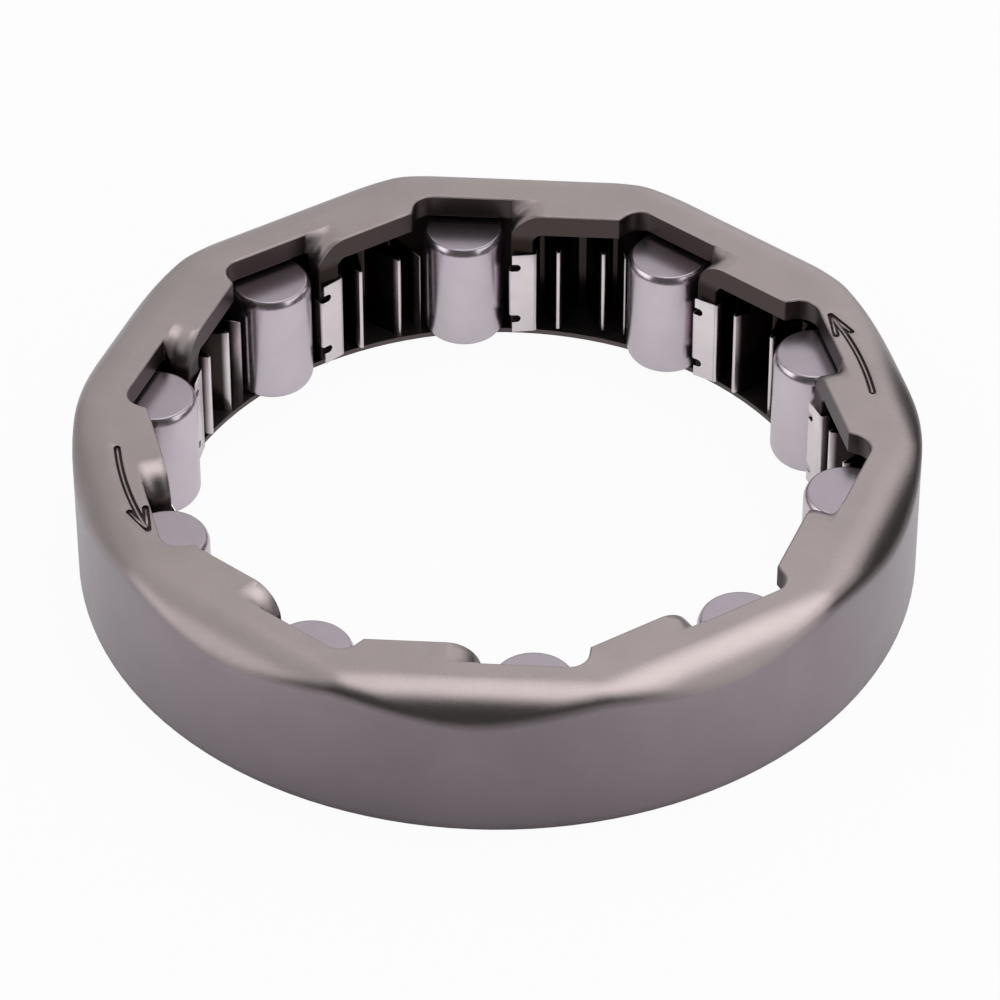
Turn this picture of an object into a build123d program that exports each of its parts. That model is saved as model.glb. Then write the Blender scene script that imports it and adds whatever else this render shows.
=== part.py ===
from build123d import *
import os
from math import asin, atan2, cos, hypot, radians, sin, sqrt, tan

# A roller one-way clutch as it is handled before fitting, without its inner race. A drawn steel
# cup with ten inner flats holds ten rollers. An accordion spring, clipped to a leg that is bent
# down from the cup's flange, pushes each roller clockwise, seen from the flange, towards the
# narrow end of its flat. A thin ring closes the open bottom. Lengths are in millimetres. The Z
# axis is the clutch axis, Z = 0 is the bottom face, and the flange is on top.
#
# Each station is described in its own frame: v runs outwards, square to the station's flat, and
# u runs clockwise along that flat. The first station's flat faces +Y, and the next ones follow
# clockwise.

# Cup
outer_diameter = 120.0
race_height = 22.9
station_count = 10
cam_wall = 4.56
cam_corner_radius = 6.5
flange_thickness = 3.5
rim_reach = 5.9
rim_radius = 6.2
flange_corner_radius = 1.5
crease_radius = 2.0
foot_chamfer = 0.35
cavity_top_radius = 0.6
edge_radius = 0.25

# Flange openings: a pocket over each roller, and a hood over each spring
pocket_land = 2.9
pocket_far_angle = 16.64
pocket_corner_radius = 2.8
hood_land = 6.85
hood_end_angle = 17.62

# Legs, bent down from the hoods. The flange sags into each bend, beside its outer end.
leg_thickness = 3.3
leg_side = 1.0
leg_bend_inner_radius = 1.5
leg_foot_gap = 1.2
sag_width = 1.2

# Arrows pressed into the flange over two opposite flats
arrow_stations = (2, 7)
arrow_land = 0.45
arrow_sweep = 19.6
arrow_turn = 2.0
arrow_width = 1.0
arrow_depth = 0.35
barb_sweep = 4.8
barb_outward = 1.0
barb_inward = 1.35

# Retaining ring, pressed into a rebate in the open bottom
ring_lip = 1.7
ring_width = 9.9
ring_thickness = 0.8
ring_interference = 0.02

# Rollers, at rest against their springs
roller_diameter = 12.0
roller_end_inset = 0.6
roller_corner_radius = 1.8
roller_rest_offset = 8.1
roller_head_gap = 0.75
cam_clearance = 0.02
end_clearance = 0.05

# Springs, folded from thin strip
strip_thickness = 0.2
strip_clearance = 0.05
spring_foot_gap = 0.85
spring_head_gap = 3.4
clip_reach = 2.3
tab_inset = 0.3
tab_lift = 0.6
tab_reach = 0.4
slot_height = 1.3
slot_depth = 1.3
lower_slot_rise = 2.5
upper_slot_drop = 2.3
outer_fold_gap = 1.54
outer_fold_width = 1.7
outer_fold_radius = 0.7
inner_fold_set_back = 0.55
inner_fold_width = 0.17
inner_fold_radius = 0.07
leg_to_outer_fold = 1.0
leg_to_inner_fold = 3.76
inner_fold_to_roller = 3.73
outer_fold_to_roller = 2.2
spring_tip_reach = 0.45

# Edges to be rounded are found by where they lie, within this distance
edge_tolerance = 0.05

# Sizes that follow from those above
outer_radius = outer_diameter / 2
station_angle = 360 / station_count
flange_underside = race_height - flange_thickness
flange_apothem = outer_radius - rim_reach
cam_apothem = outer_radius - cam_wall
pocket_outer_edge = flange_apothem - pocket_land
pocket_far_side = pocket_outer_edge * tan(radians(pocket_far_angle))
hood_edge = flange_apothem - hood_land
hood_end = hood_edge * tan(radians(hood_end_angle))
leg_outer_v = pocket_outer_edge - sag_width
leg_bend_outer_radius = leg_bend_inner_radius + leg_thickness
leg_spring_side = leg_thickness - leg_side
leg_bottom = ring_thickness + leg_foot_gap
bend_start = leg_bend_outer_radius - leg_side
outer_bend_z = race_height - leg_bend_outer_radius
inner_bend_z = flange_underside - leg_bend_inner_radius
arrow_radius = flange_apothem - arrow_land
ring_outer_radius = outer_radius - ring_lip
roller_radius = roller_diameter / 2
roller_end_radius = roller_radius - roller_end_inset
roller_v = cam_apothem - roller_radius - cam_clearance
roller_bottom = ring_thickness + end_clearance
roller_length = flange_underside - roller_head_gap - roller_bottom
spring_bottom = ring_thickness + spring_foot_gap
spring_top = flange_underside - spring_head_gap


def station_plane(station, height=0):
    """The station's frame at a height: x is u and y is v."""
    facing = radians(90 - station * station_angle)
    return Plane(origin=(0, 0, height), x_dir=(sin(facing), -cos(facing), 0), z_dir=(0, 0, 1))


def turned(u, v, angle):
    """A point of a station's frame, turned clockwise about the clutch axis by degrees."""
    swing = radians(angle)
    return (u * cos(swing) + v * sin(swing), v * cos(swing) - u * sin(swing))


def polar(radius, angle):
    """The point at a radius and at an angle in degrees from X."""
    return (radius * cos(radians(angle)), radius * sin(radians(angle)))


def is_crease(edge):
    """True for the edges where the rounded rim meets the round wall."""
    middle = edge.position_at(0.5)
    on_wall = abs(hypot(middle.X, middle.Y) - outer_radius) < edge_tolerance
    return on_wall and edge.bounding_box().min.Z > race_height - 2 * rim_radius


def is_cavity_edge(edge):
    """True for the inner edges where the flats meet the flange's underside."""
    middle = edge.position_at(0.5)
    at_underside = abs(middle.Z - flange_underside) < edge_tolerance
    return at_underside and hypot(middle.X, middle.Y) > cam_apothem - edge_tolerance


def is_opening_edge(edge):
    """True for the flange's top edges along the pockets and hoods."""
    middle = edge.position_at(0.5)
    on_top = edge.bounding_box().min.Z > race_height - edge_tolerance
    return on_top and hypot(middle.X, middle.Y) < flange_apothem - edge_tolerance


def is_leg_edge(edge):
    """True for the edges of a leg that run along it, on its inner side."""
    middle = edge.position_at(0.5)
    to_side = min(abs(middle.X + leg_side), abs(middle.X - leg_spring_side))
    return abs(middle.Y - hood_edge) < edge_tolerance and to_side < edge_tolerance


# The flange's opening at one station, from the axis to its pocket and its hood
with BuildSketch() as opening_sector:
    sector_start = turned(hood_end, hood_edge, -station_angle)
    far_corner = (-pocket_far_side, pocket_outer_edge)
    with BuildLine():
        Polyline(
            (0, 0),
            sector_start,
            far_corner,
            (-leg_side, pocket_outer_edge),
            (-leg_side, hood_edge),
            (hood_end, hood_edge),
            close=True,
        )
    make_face()
    fillet(vertices().sort_by_distance(far_corner)[0], pocket_corner_radius)

# The part of the flange at one station that is bent down
with BuildSketch() as bent_area:
    with BuildLine():
        Polyline(
            (-leg_side, hood_edge),
            (-leg_side, pocket_outer_edge),
            (bend_start, pocket_outer_edge),
            (bend_start, hood_edge),
            close=True,
        )
    make_face()

# One leg in its station's frame, with the sag that joins its bend to the flat flange
with BuildPart() as leg:
    with BuildSketch(Plane.XZ.offset(-leg_outer_v)):
        with BuildLine():
            Polyline(
                (leg_spring_side, inner_bend_z),
                (leg_spring_side, leg_bottom),
                (-leg_side, leg_bottom),
                (-leg_side, outer_bend_z),
            )
            TangentArc((-leg_side, outer_bend_z), (bend_start, race_height), tangent=(0, 1))
            Line((bend_start, race_height), (bend_start, flange_underside))
            TangentArc((bend_start, flange_underside), (leg_spring_side, inner_bend_z), tangent=(-1, 0))
        make_face()
    extrude(amount=leg_outer_v - hood_edge)
    fillet(edges().filter_by(is_leg_edge), edge_radius)

    with BuildSketch(Plane.XZ.offset(-leg_outer_v)):
        with BuildLine():
            Line((leg_spring_side, inner_bend_z), (-leg_side, outer_bend_z))
            TangentArc((-leg_side, outer_bend_z), (bend_start, race_height), tangent=(0, 1))
            Line((bend_start, race_height), (bend_start, flange_underside))
            TangentArc((bend_start, flange_underside), (leg_spring_side, inner_bend_z), tangent=(-1, 0))
        make_face()
    with BuildSketch(Plane.XZ.offset(-pocket_outer_edge)):
        with BuildLine():
            Polyline(
                (-leg_side, flange_underside),
                (-leg_side, race_height),
                (bend_start, race_height),
                (bend_start, flange_underside),
                close=True,
            )
        make_face()
    loft(ruled=True)

# One arrow in its station's frame, over the flat and pointing anticlockwise
with BuildSketch() as arrow:
    arrow_tip_angle = 90 + arrow_turn + arrow_sweep / 2
    shaft = CenterArc((0, 0), arrow_radius, arrow_tip_angle - arrow_sweep, arrow_sweep, mode=Mode.PRIVATE)
    SlotArc(shaft, arrow_width)
    for rise in (barb_outward, -barb_inward):
        barb_end = polar(arrow_radius + rise, arrow_tip_angle - barb_sweep)
        barb = Line(polar(arrow_radius, arrow_tip_angle), barb_end, mode=Mode.PRIVATE)
        SlotCenterPoint(barb @ 0.5, barb @ 1, arrow_width)

# Outer race: a round cup whose top is a ten-sided flange with a rounded rim
with BuildPart() as outer_race:
    with BuildSketch():
        RegularPolygon(flange_apothem + rim_radius, station_count, major_radius=False)
        fillet(vertices(), flange_corner_radius + rim_radius)
    extrude(amount=race_height)
    fillet(faces().sort_by(Axis.Z)[-1].edges(), rim_radius)
    with BuildSketch():
        Circle(outer_radius)
    extrude(amount=race_height, mode=Mode.INTERSECT)
    fillet(edges().filter_by(is_crease), crease_radius)
    chamfer(faces().sort_by(Axis.Z)[0].edges(), foot_chamfer)

    # The cam flats inside
    with BuildSketch():
        RegularPolygon(cam_apothem, station_count, major_radius=False)
        fillet(vertices(), cam_corner_radius)
    extrude(amount=flange_underside, mode=Mode.SUBTRACT)
    fillet(edges().filter_by(is_cavity_edge), cavity_top_radius)

    # The rebate that seats the retaining ring
    with BuildSketch():
        Circle(ring_outer_radius - ring_interference)
    extrude(amount=ring_thickness, mode=Mode.SUBTRACT)

    # The pockets and hoods through the flange
    with BuildSketch(Plane.XY.offset(flange_underside)):
        with PolarLocations(0, station_count):
            add(opening_sector.sketch)
    extrude(amount=flange_thickness, mode=Mode.SUBTRACT)
    fillet(edges().filter_by(is_opening_edge), edge_radius)

    # The legs, bent down from the flange
    with BuildSketch(Plane.XY.offset(flange_underside)):
        with PolarLocations(0, station_count):
            add(bent_area.sketch)
    extrude(amount=flange_thickness, mode=Mode.SUBTRACT)
    with PolarLocations(0, station_count):
        add(leg.part)

    # The arrows
    with BuildSketch(*[station_plane(station, race_height) for station in arrow_stations]):
        add(arrow.sketch)
    extrude(amount=-arrow_depth, mode=Mode.SUBTRACT)
outer_race.part.label = "outer_race"

# Retaining ring: a flat washer that keeps the rollers in
with BuildPart() as retaining_ring:
    with BuildSketch():
        Circle(ring_outer_radius)
        Circle(ring_outer_radius - ring_width, mode=Mode.SUBTRACT)
    extrude(amount=ring_thickness)
retaining_ring.part.label = "retaining_ring"

# One roller, standing on its end: its side curves in to a flat end face
with BuildPart() as roller_blank:
    corner_height = sqrt(roller_corner_radius**2 - (roller_corner_radius - roller_end_inset) ** 2)
    side_top = roller_length - corner_height
    with BuildSketch(Plane.XZ):
        with BuildLine():
            Polyline((roller_end_radius, 0), (0, 0), (0, roller_length), (roller_end_radius, roller_length))
            TangentArc((roller_radius, corner_height), (roller_end_radius, 0), tangent=(0, -1))
            Line((roller_radius, corner_height), (roller_radius, side_top))
            TangentArc((roller_radius, side_top), (roller_end_radius, roller_length), tangent=(0, 1))
        make_face()
    revolve(axis=Axis.Z)

# One spring, in the frame of the station whose leg it is clipped to. Its strip runs from the tab
# on the leg through five folds to a last leaf, which lies along the roller of the next station.
next_roller_u, next_roller_v = turned(-roller_rest_offset, roller_v, station_angle)
roller_side = next_roller_u - roller_radius
tab_v = hood_edge - strip_clearance
clip_u = -leg_side - strip_clearance
clip_bend_radius = edge_radius + strip_clearance
outer_fold_v = cam_apothem - outer_fold_gap
inner_fold_v = hood_edge + inner_fold_set_back
first_inner_fold = leg_spring_side + leg_to_inner_fold
last_inner_fold = roller_side - inner_fold_to_roller
folds = [
    (leg_spring_side + leg_to_outer_fold, outer_fold_v, outer_fold_width, outer_fold_radius),
    (first_inner_fold, inner_fold_v, inner_fold_width, inner_fold_radius),
    ((first_inner_fold + last_inner_fold) / 2, outer_fold_v, outer_fold_width, outer_fold_radius),
    (last_inner_fold, inner_fold_v, inner_fold_width, inner_fold_radius),
    (roller_side - outer_fold_to_roller, outer_fold_v, outer_fold_width, outer_fold_radius),
]
tab_start = clip_u + tab_inset
tab_end = leg_spring_side + tab_reach
tab_slope = tab_lift / (tab_end - tab_start)
clip_v = tab_v - tab_slope * (tab_end - clip_u)
leaf_points = [(tab_start, tab_v - tab_lift), (tab_end, tab_v)]
leaf_radii = [clip_bend_radius]
for middle_u, fold_v, width, radius in folds:
    leaf_points += [(middle_u - width / 2, fold_v), (middle_u + width / 2, fold_v)]
    leaf_radii += [radius, radius]

# The last leaf points just past the roller's side
leaf_u, leaf_v = leaf_points[-1]
roller_distance = hypot(next_roller_u - leaf_u, leaf_v - next_roller_v)
roller_bearing = atan2(next_roller_u - leaf_u, leaf_v - next_roller_v)
leaf_bearing = roller_bearing - asin((roller_radius + strip_clearance) / roller_distance)
leaf_drop = leaf_v - hood_edge + spring_tip_reach
leaf_points.append((leaf_u + leaf_drop * tan(leaf_bearing), leaf_v - leaf_drop))

with BuildPart() as spring_blank:
    with BuildSketch(Plane.XY.offset(spring_bottom)):
        with BuildLine():
            FilletPolyline(*leaf_points, radius=leaf_radii)
            offset(amount=strip_thickness, side=Side.RIGHT)
        make_face()
    extrude(amount=spring_top - spring_bottom)

    # The slots that free the clip from the tab above and below it
    lower_slot = spring_bottom + lower_slot_rise
    upper_slot = spring_top - upper_slot_drop
    with BuildSketch(Plane.XZ.offset(-tab_v)):
        with Locations((tab_start, lower_slot), (tab_start, upper_slot)):
            SlotOverall(2 * slot_depth, slot_height)
    extrude(amount=tab_lift + 2 * strip_thickness, mode=Mode.SUBTRACT)

    # The clip that hooks round the leg's other side, between the slots
    clip_bottom = lower_slot + slot_height / 2
    clip_top = upper_slot - slot_height / 2
    with BuildSketch(Plane.XY.offset(clip_bottom)):
        with BuildLine():
            FilletPolyline(
                (clip_u, hood_edge + clip_reach),
                (clip_u, clip_v),
                (clip_u + slot_depth, clip_v + tab_slope * slot_depth),
                radius=clip_bend_radius,
            )
            offset(amount=strip_thickness, side=Side.RIGHT)
        make_face()
    extrude(amount=clip_top - clip_bottom)

os.makedirs("parts", exist_ok=True)
export_step(outer_race.part, "parts/outer_race.step")
export_step(retaining_ring.part, "parts/retaining_ring.step")

for station in range(station_count):
    number = f"{station + 1:02d}"

    # The roller of this station
    with BuildPart() as roller:
        with Locations(station_plane(station, roller_bottom).location):
            with Locations((-roller_rest_offset, roller_v)):
                add(roller_blank.part)
    roller.part.label = f"roller_{number}"
    export_step(roller.part, f"parts/roller_{number}.step")

    # The spring that pushes it, on the leg of the station before
    with BuildPart() as spring:
        with Locations(station_plane(station - 1).location):
            add(spring_blank.part)
    spring.part.label = f"spring_{number}"
    export_step(spring.part, f"parts/spring_{number}.step")
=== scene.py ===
from math import atan2, cos, pi, radians, sin, tan

import bmesh
import bpy
from bpy.props import FloatProperty, FloatVectorProperty, IntProperty, PointerProperty
from bpy.types import Operator, Panel, PropertyGroup
from mathutils import Matrix, Quaternion, Vector


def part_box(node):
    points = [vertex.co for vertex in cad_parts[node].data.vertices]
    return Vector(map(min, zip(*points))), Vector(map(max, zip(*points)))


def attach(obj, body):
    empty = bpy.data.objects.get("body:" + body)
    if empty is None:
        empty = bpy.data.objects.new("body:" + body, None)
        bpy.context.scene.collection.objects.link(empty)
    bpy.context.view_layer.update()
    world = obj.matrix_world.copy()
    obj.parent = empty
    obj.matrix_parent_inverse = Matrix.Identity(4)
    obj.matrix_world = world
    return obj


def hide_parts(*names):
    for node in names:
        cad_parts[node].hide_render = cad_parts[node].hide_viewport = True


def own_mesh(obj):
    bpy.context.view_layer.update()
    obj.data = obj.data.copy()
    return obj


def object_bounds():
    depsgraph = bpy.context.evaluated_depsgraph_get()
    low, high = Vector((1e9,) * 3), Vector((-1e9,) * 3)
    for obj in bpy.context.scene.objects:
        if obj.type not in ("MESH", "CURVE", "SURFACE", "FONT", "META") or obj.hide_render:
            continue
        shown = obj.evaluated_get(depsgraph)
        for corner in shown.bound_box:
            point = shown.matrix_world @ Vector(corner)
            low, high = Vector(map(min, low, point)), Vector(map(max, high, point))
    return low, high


bl_info = {
    "name": "Roller clutch",
    "version": (1, 0, 0),
    "blender": (4, 5, 0),
    "location": "View3D > Sidebar > Clutch",
    "description": "Finishes a roller one-way clutch: race, ring, rollers and springs, and sets its stage",
    "category": "Object",
}

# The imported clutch. Its Z axis is the clutch axis, and it stands on its open bottom at Z = 0.
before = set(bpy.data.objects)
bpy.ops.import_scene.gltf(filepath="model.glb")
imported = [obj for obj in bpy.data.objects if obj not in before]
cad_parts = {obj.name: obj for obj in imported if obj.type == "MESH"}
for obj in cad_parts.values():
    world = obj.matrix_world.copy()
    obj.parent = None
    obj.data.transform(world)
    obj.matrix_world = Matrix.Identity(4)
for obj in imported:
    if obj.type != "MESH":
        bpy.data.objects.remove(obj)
cad_low, cad_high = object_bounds()

MM = 0.001
STATION_COUNT = sum(name.startswith("roller_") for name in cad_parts)
STATION_ANGLE = 2 * pi / STATION_COUNT
RACE_HEIGHT = cad_high.z

# What carries the springs, as the race was made
HOOD_EDGE = 47.25 * MM
LEG_SPRING_SIDE = 2.3 * MM
FLANGE_UNDERSIDE = 19.4 * MM
ARROW_STATIONS = (2, 7)
ARROW_RADIUS = 53.65 * MM
ARROW_TIP_ANGLE = radians(11.8)
ARROW_SWEEP = radians(19.6)
ARROW_DEPTH = 0.35 * MM
BARB_SWEEP = radians(4.8)
BARB_OUTWARD = 1.0 * MM
BARB_INWARD = 1.35 * MM

# How slack each spring hangs, from firm at 0 to slack at 1
SPRING_SLACK = (1.0, 0.0, 0.9, 0.5, 0.7, 0.4, 0.8, 0.6, 0.5, 0.8)

# Points closer than this are one point, and points closer than this to a plane lie in it
SAME_POINT = 0.001 * MM
SAME_PLANE = 0.01 * MM

# Where the race's finishes, and the painted shade on its wall and in its cavity, begin and are full, as
# distances from the axis and heights
WALL_BAND = (58.8 * MM, 59.6 * MM)
CUT_BAND = (54.5 * MM, 53.5 * MM)
CAVITY_SHADE_BAND = (59.2 * MM, 58.9 * MM)
CAVITY_SHADE_TOP_BAND = (FLANGE_UNDERSIDE + 0.2 * MM, FLANGE_UNDERSIDE - 1.5 * MM)
RIM_BAND = (53.5 * MM, 55 * MM)

# The same by a face's slope, which is 0 on an upright face and 1 on a level one
UPRIGHT_SLOPE = (0.45, 0.12)
CUT_SLOPE = (0.35, 0.15)
BEND_SLOPE = (0.1, 0.3)
BEND_TOP_SLOPE = (0.995, 0.97)

# The room that the arrows' grooves take up: along them as the tangent of the angle from
# their station, across them as distances, and by their walls' and floors' slopes
GROOVE_TIP_BAND = (tan(-ARROW_TIP_ANGLE) - 0.03, tan(-ARROW_TIP_ANGLE) - 0.02)
GROOVE_TAIL_BAND = (0.17, 0.16)
GROOVE_INNER_BAND = (51.24 * MM, 51.28 * MM)
GROOVE_OUTER_BAND = (55.6 * MM, 55.5 * MM)
GROOVE_WALL_SLOPE = (0.5, 0.3)
GROOVE_FLOOR_SLOPE = (0.985, 0.995)
GROOVE_FLOOR = RACE_HEIGHT - ARROW_DEPTH

# Where the floor glows with painted light in the metals' reflections: behind the clutch, and beside its
# middle
FLOOR_BEHIND_BAND = (-0.03, 0.0)
FLOOR_BESIDE_BAND = (0.01, 0.065)

# The room's light by direction, where X points right and Y away from the camera
DUSK_FADE = 0.2
DUSK_BEHIND_BAND = (0.1, 0.35)
DUSK_LEFT_BAND = (-0.35, -0.6)
BALANCE_BAND = (-0.17, 0.08)
LEFT_LEVEL = 0.84
RIGHT_LEVEL = 1.06
GLOW_LEFT_BAND = (-0.55, -0.75)
GLOW_FRONT_BAND = (0.1, -0.1)

# Where the black flags stand, round the clutch's axis from +X, and how far off
FRONT_FLAG_MIDDLE = radians(-93)
FRONT_FLAG_DISTANCE = 0.2
RIGHT_FLAG_MIDDLE = radians(8)
RIGHT_FLAG_DISTANCE = 0.1

# The point that the camera looks at, above the floor and to the right of the axis
AIM_HEIGHT = 8.04 * MM
AIM_RIGHT = 0.405 * MM


def linear(code):
    """The linear colour of an sRGB hex code."""
    channels = [int(code[i:i + 2], 16) / 255 for i in (1, 3, 5)]
    return [c / 12.92 if c <= 0.04045 else ((c + 0.055) / 1.055) ** 2.4 for c in channels]


def add_node(tree, kind, inputs=None, **settings):
    """Add a node. Each input gets a value, or a link from another node's socket."""
    node = tree.nodes.new(kind)
    for name, value in settings.items():
        setattr(node, name, value)
    for name, source in (inputs or {}).items():
        if isinstance(source, bpy.types.NodeSocket):
            tree.links.new(source, node.inputs[name])
        else:
            node.inputs[name].default_value = source
    return node


def new_material(name):
    """An empty material with its shader and the surface it colours."""
    material = bpy.data.materials.new(name)
    material.use_nodes = True
    tree = material.node_tree
    tree.nodes.clear()
    shader = add_node(tree, "ShaderNodeBsdfPrincipled")
    add_node(tree, "ShaderNodeOutputMaterial", {"Surface": shader.outputs["BSDF"]})
    return material, tree, shader


def new_piece(name, bm, material, body):
    """Make a piece from a bmesh, finish it with a material and let it ride on a body."""
    mesh = bpy.data.meshes.new(name)
    bm.to_mesh(mesh)
    bm.free()
    mesh.materials.append(material)
    piece = bpy.data.objects.new(name, mesh)
    bpy.context.scene.collection.objects.link(piece)
    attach(piece, body)
    return piece


def station_matrix(station):
    """The frame of a station: X runs clockwise along its flat, Y outwards, Z up."""
    return Matrix.Rotation(-station * STATION_ANGLE, 4, "Z")


class ClutchFinish(PropertyGroup):
    """Colours and grain sizes of the clutch's metals."""

    race_colour: FloatVectorProperty(
        name="Race", description="Drawn and tumbled steel of the flange and its rim",
        subtype="COLOR", min=0, max=1, default=linear("#9E9393"))
    # The outer wall's colour is a touch more lavender than the flange's, and a little darker as painted
    # shade.
    wall_shaded_colour: FloatVectorProperty(
        name="Outer wall", description="Ironed steel of the round outer wall",
        subtype="COLOR", min=0, max=1, default=linear("#988E94"))
    cut_colour: FloatVectorProperty(
        name="Cut faces", description="Sheared edges of the flange's openings",
        subtype="COLOR", min=0, max=1, default=linear("#554B4A"))
    # The groove colour is painted shade in the pressed arrows' grooves, on their walls and floors alike.
    groove_shade_colour: FloatVectorProperty(
        name="Arrow grooves", description="Oxide along the sides of the pressed arrows",
        subtype="COLOR", min=0, max=1, default=linear("#3A302F"))
    # The cavity colour is painted shade: the race's inner faces are darkened where they lie deep under the
    # flange.
    cavity_shade_colour: FloatVectorProperty(
        name="Cavity", description="Hardening scale and oil film on the race's inner faces",
        subtype="COLOR", min=0, max=1, default=linear("#382F2D"))
    ring_colour: FloatVectorProperty(
        name="Ring", description="Stamped steel of the retaining ring",
        subtype="COLOR", min=0, max=1, default=linear("#6F6665"))
    roller_colour: FloatVectorProperty(
        name="Rollers", description="Ground bearing steel of the rollers' sides",
        subtype="COLOR", min=0, max=1, default=linear("#DCD1DA"))
    # The ends' colour, darker than the sides', is painted shade on the rollers' tops.
    roller_end_shade_colour: FloatVectorProperty(
        name="Roller ends", description="Lapped ends of the rollers",
        subtype="COLOR", min=0, max=1, default=linear("#A69CA5"))
    spring_colour: FloatVectorProperty(
        name="Springs", description="Bright rolled strip of the springs",
        subtype="COLOR", min=0, max=1, default=linear("#F6EDF0"))
    # The deep strip's colour is painted shade: the springs darken the deeper they lie in the cavity.
    deep_shade_colour: FloatVectorProperty(
        name="Oiled strip", description="The strip where it lies deep in the oiled cavity",
        subtype="COLOR", min=0, max=1, default=linear("#3A3230"))
    drawn_corner: FloatProperty(
        name="Drawn corners", description="How softly the drawn rim's facets run into each other",
        subtype="DISTANCE", unit="LENGTH", default=2.0 * MM)
    sheared_corner: FloatProperty(
        name="Sheared corners", description="How softly the openings' sheared edges catch the light",
        subtype="DISTANCE", unit="LENGTH", default=0.3 * MM)
    tumbled_grain: FloatProperty(
        name="Tumbled grain", description="Width of the dimples that tumbling leaves",
        subtype="DISTANCE", unit="LENGTH", default=0.35 * MM)
    grinding_pitch: FloatProperty(
        name="Grinding pitch",
        description="Spacing of the rollers' grinding lines, drawn coarse enough to show",
        subtype="DISTANCE", unit="LENGTH", default=0.16 * MM)
    rolling_pitch: FloatProperty(
        name="Rolling pitch", description="Spacing of the strip's rolling lines, drawn coarse enough to show",
        subtype="DISTANCE", unit="LENGTH", default=0.2 * MM)


class ClutchSizes(PropertyGroup):
    """Sizes of the rollers' corners and of the folded springs."""

    bead_width: FloatProperty(
        name="Bead width", description="Width of the bead along the middle of the arrows' grooves",
        subtype="DISTANCE", unit="LENGTH", default=0.46 * MM)
    bead_height: FloatProperty(
        name="Bead height", description="Height of that bead above the groove's floor",
        subtype="DISTANCE", unit="LENGTH", default=0.3 * MM)
    bead_end: FloatProperty(
        name="Bead end", description="How far the bead stops short of the arrow's tip",
        subtype="DISTANCE", unit="LENGTH", default=0.5 * MM)
    bead_sink: FloatProperty(
        name="Bead sink", description="How deep the bead sits in the groove's floor",
        subtype="DISTANCE", unit="LENGTH", default=0.02 * MM)
    roller_end_inset: FloatProperty(
        name="End inset", description="How far a roller's flat end stops short of its side",
        subtype="DISTANCE", unit="LENGTH", default=0.6 * MM)
    roller_corner_radius: FloatProperty(
        name="Corner radius", description="Radius of a roller's ground corner",
        subtype="DISTANCE", unit="LENGTH", default=1.8 * MM)
    roller_edge: FloatProperty(
        name="End edge", description="Width of the eased edge round a roller's flat end",
        subtype="DISTANCE", unit="LENGTH", default=0.16 * MM)
    roller_segments: IntProperty(
        name="Roller segments", description="Steps around a roller", default=96, min=24)
    tab_to_leaves: FloatProperty(
        name="Tab end", description="From a leg's side to where its spring's tab ends and the leaves begin",
        subtype="DISTANCE", unit="LENGTH", default=0.2 * MM)
    leaf_gap: FloatProperty(
        name="Leaf gap", description="Hairline between a spring's tab and its leaves",
        subtype="DISTANCE", unit="LENGTH", default=0.05 * MM)
    spring_sag: FloatProperty(
        name="Spring sag", description="How much lower a slack spring hangs at its roller than at its leg",
        subtype="DISTANCE", unit="LENGTH", default=1.4 * MM)
    spring_bulge: FloatProperty(
        name="Spring bow", description="How far a slack spring bows into the bore halfway along",
        subtype="DISTANCE", unit="LENGTH", default=0.7 * MM)
    strip_burr: FloatProperty(
        name="Strip edge", description="Width of the rounding on the strip's slit edges",
        subtype="DISTANCE", unit="LENGTH", default=0.04 * MM)


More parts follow.
